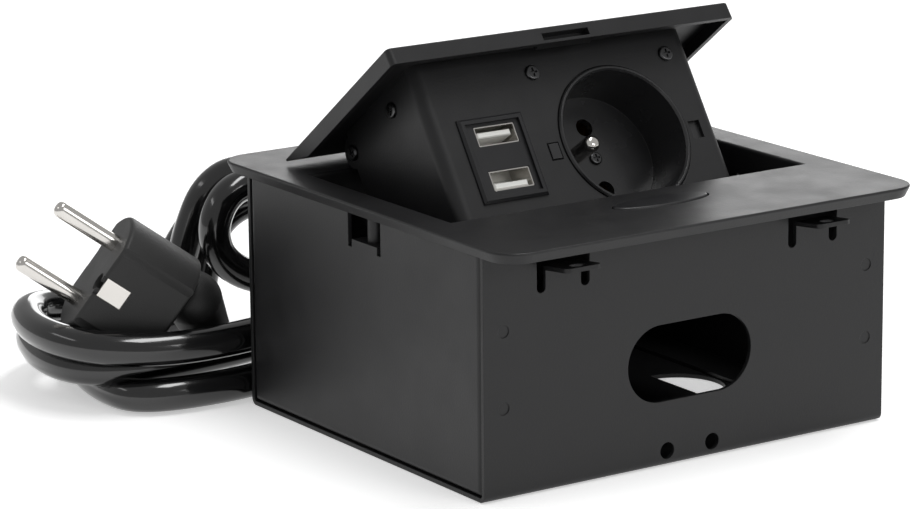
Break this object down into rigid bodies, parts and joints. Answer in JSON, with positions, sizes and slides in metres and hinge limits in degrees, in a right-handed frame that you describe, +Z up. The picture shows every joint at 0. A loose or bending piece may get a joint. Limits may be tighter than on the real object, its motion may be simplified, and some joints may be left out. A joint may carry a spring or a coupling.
{
  "type": "in-desk power module",
  "caption": "Desk-mounted power module with a push-release pop-up carriage, an earthed mains socket, charging ports and a wound lead with its plug.",
  "frame": {"origin": "middle of the box's underside, on the surface that the module stands on", "axes": "+X right along the width, +Y to the back where the hinge is, +Z up out of the desk"},
  "size_m": [0.188, 0.2158, 0.1098],
  "materials": {
    "powder_black": "fine textured black powder coat",
    "black_plastic": "matt black moulding",
    "gloss_black": "glossy black moulding",
    "dark_zinc": "black zinc",
    "zinc_steel": "bright zinc",
    "spring_steel": "spring wire",
    "brass": "plain",
    "nickel": "nickel plated",
    "white_plastic": "satin white",
    "plug_moulding": "fine grained matt black moulding",
    "cord_black": "glossy black sheath"
  },
  "bodies": {
    "box": {"front_wall": "powder_black", "floor_plate": "powder_black", "back_wall": "powder_black", "side_panel_left": "powder_black", "side_panel_right": "powder_black", "frame": "powder_black", "frame_screws": "dark_zinc", "latch_guide": "black_plastic", "guide_screws": "dark_zinc", "return_springs": "spring_steel", "hinge_bracket_left": "zinc_steel", "hinge_bracket_right": "zinc_steel", "hinge_rivets": "dark_zinc", "hinge_axle": "zinc_steel", "hinge_clips": "zinc_steel", "torsion_spring_left": "spring_steel", "torsion_spring_right": "spring_steel", "cord_gland": "black_plastic", "gland_nut": "black_plastic", "cord_lead": "cord_black", "cord_coil": "cord_black", "cord_tail": "cord_black", "plug_body": "plug_moulding", "plug_pins": "nickel", "plug_earth_clips": "nickel", "plug_neck": "plug_moulding"},
    "carriage": {"carriage_shell": "powder_black", "socket_cup": "gloss_black", "socket_base": "black_plastic", "contact_live": "brass", "contact_neutral": "brass", "earth_pin": "nickel", "face_screws": "dark_zinc", "socket_floor_screw": "dark_zinc", "port_bezel": "black_plastic", "port_shell_upper": "nickel", "port_shell_lower": "nickel", "port_tongue_upper": "white_plastic", "port_tongue_lower": "white_plastic", "charger_case": "black_plastic", "lid": "powder_black", "lid_screws": "dark_zinc"},
    "button": {"release_button": "black_plastic"},
    "latch": {"latch": "black_plastic"}
  },
  "joints": [
    {"name": "carriage_hinge", "type": "hinge", "parent": "box", "child": "carriage", "pos_m": [0, 0.0459, 0.0428], "axis": [1, 0, 0], "range_deg": [0, 37], "stiffness_Nm_per_rad": 0.2, "springref_deg": -68.75},
    {"name": "button_press", "type": "slide", "parent": "box", "child": "button", "axis": [0, 0, -1], "range_m": [0, 0.002], "stiffness_N_per_m": 900, "springref_m": -0.003, "deforming": ["return_springs"]},
    {"name": "latch_slide", "type": "slide", "parent": "box", "child": "latch", "axis": [0, -1, 0], "range_m": [0, 0.002]}
  ],
  "couplings": [
    {"joint": "latch_slide", "follows": "button_press", "ratio": 1}
  ]
}
